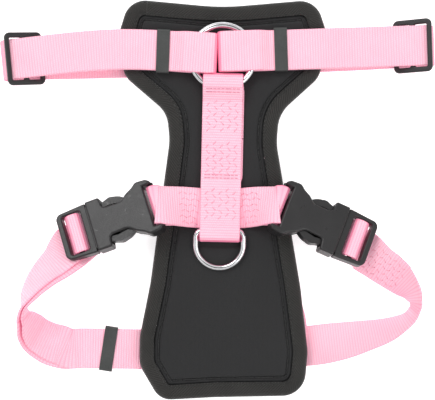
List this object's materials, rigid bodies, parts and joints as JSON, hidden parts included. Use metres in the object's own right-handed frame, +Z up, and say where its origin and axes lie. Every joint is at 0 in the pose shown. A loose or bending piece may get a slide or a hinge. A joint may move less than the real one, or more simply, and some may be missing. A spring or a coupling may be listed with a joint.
{
  "type": "no pull dog harness",
  "caption": "Padded dog harness laid flat, with a neck loop, a girth loop, front and back leash rings, side-release buckles and strap sliders.",
  "frame": {"origin": "on the surface the harness lies on, under the centre of its bounding box", "axes": "+Z up from that surface, +Y towards the neck loop, +X towards the right-hand buckle as seen from above"},
  "size_m": [0.272, 0.2496, 0.029],
  "materials": {
    "webbing": "ribbed nylon webbing, pink",
    "pad_cover": "smooth knitted neoprene facing, black",
    "foam": "soft foam",
    "binding": "twill tape, black",
    "plastic": "satin moulded acetal, charcoal",
    "keeper": "black elastic tape",
    "chrome": "polished, welded"
  },
  "bodies": {
    "root": {"pad_front_cover": "pad_cover", "pad_foam_core": "foam", "pad_back_lining": "pad_cover", "edge_binding": "binding", "spine_strap": "webbing", "cross_strap": "webbing", "left_buckle_female": "plastic", "right_buckle_female": "plastic", "neck_strap_left": "webbing", "neck_strap_right": "webbing", "neck_strap_back": "webbing", "girth_strap": "webbing", "chest_strap": "webbing"},
    "leash_ring": {"leash_d_ring": "chrome"},
    "front_ring": {"front_o_ring": "chrome"},
    "girth_keeper": {"girth_keeper": "keeper"},
    "left_male": {"left_buckle_male": "plastic", "left_girth_strap_end": "webbing"},
    "left_upper_prong": {"left_buckle_upper_prong": "plastic"},
    "left_lower_prong": {"left_buckle_lower_prong": "plastic"},
    "left_slider": {"left_slider": "plastic"},
    "left_keeper": {"left_neck_keeper": "keeper"},
    "right_male": {"right_buckle_male": "plastic", "right_girth_strap_end": "webbing"},
    "right_upper_prong": {"right_buckle_upper_prong": "plastic"},
    "right_lower_prong": {"right_buckle_lower_prong": "plastic"},
    "right_slider": {"right_slider": "plastic"},
    "right_keeper": {"right_neck_keeper": "keeper"}
  },
  "joints": [
    {"name": "leash_ring_swing", "type": "hinge", "parent": "root", "child": "leash_ring", "pos_m": [0.0014, -0.0194, 0.014], "axis": [-0.9998, 0.0223, 0], "range_deg": [0, 120]},
    {"name": "front_ring_turn", "type": "hinge", "parent": "root", "child": "front_ring", "pos_m": [0.0031, 0.0888, 0.0147], "axis": [0, 0, 1], "continuous": true},
    {"name": "left_buckle_release", "type": "slide", "parent": "root", "child": "left_male", "axis": [-0.9345, -0.3401, -0.1045], "range_m": [0, 0.027]},
    {"name": "left_upper_prong_squeeze", "type": "hinge", "parent": "left_male", "child": "left_upper_prong", "pos_m": [-0.0767, -0.00674, 0.01249], "axis": [0.1939, -0.2406, -0.9511], "range_deg": [0, 15]},
    {"name": "left_lower_prong_squeeze", "type": "hinge", "parent": "left_male", "child": "left_lower_prong", "pos_m": [-0.07037, -0.02601, 0.01866], "axis": [-0.1939, 0.2406, 0.9511], "range_deg": [0, 15]},
    {"name": "left_slider_adjust", "type": "slide", "parent": "root", "child": "left_slider", "axis": [0.9955, 0.0941, 0.0066], "range_m": [0, 0.022]},
    {"name": "left_keeper_slide", "type": "slide", "parent": "root", "child": "left_keeper", "axis": [-0.9993, 0.0356, -0.0066], "range_m": [0, 0.01]},
    {"name": "right_buckle_release", "type": "slide", "parent": "root", "child": "right_male", "axis": [0.9085, -0.4045, -0.1045], "range_m": [0, 0.027]},
    {"name": "right_upper_prong_squeeze", "type": "hinge", "parent": "right_male", "child": "right_upper_prong", "pos_m": [0.0687, -0.02824, 0.01866], "axis": [-0.2102, -0.2264, -0.9511], "range_deg": [0, 15]},
    {"name": "right_lower_prong_squeeze", "type": "hinge", "parent": "right_male", "child": "right_lower_prong", "pos_m": [0.07636, -0.00945, 0.01249], "axis": [0.2102, 0.2264, 0.9511], "range_deg": [0, 15]},
    {"name": "right_slider_adjust", "type": "slide", "parent": "root", "child": "right_slider", "axis": [-0.9994, -0.031, 0.0122], "range_m": [0, 0.022]},
    {"name": "right_keeper_slide", "type": "slide", "parent": "root", "child": "right_keeper", "axis": [0.9994, 0.031, -0.0122], "range_m": [0, 0.01]},
    {"name": "girth_keeper_slide", "type": "slide", "parent": "root", "child": "girth_keeper", "axis": [0.9998, -0.018, 0], "range_m": [-0.01, 0.01]}
  ],
  "couplings": [
    {"joint": "left_upper_prong_squeeze", "follows": "left_buckle_release", "rad_per_m": 9.0499},
    {"joint": "left_lower_prong_squeeze", "follows": "left_buckle_release", "rad_per_m": 9.0499},
    {"joint": "right_upper_prong_squeeze", "follows": "right_buckle_release", "rad_per_m": 9.0499},
    {"joint": "right_lower_prong_squeeze", "follows": "right_buckle_release", "rad_per_m": 9.0499}
  ]
}
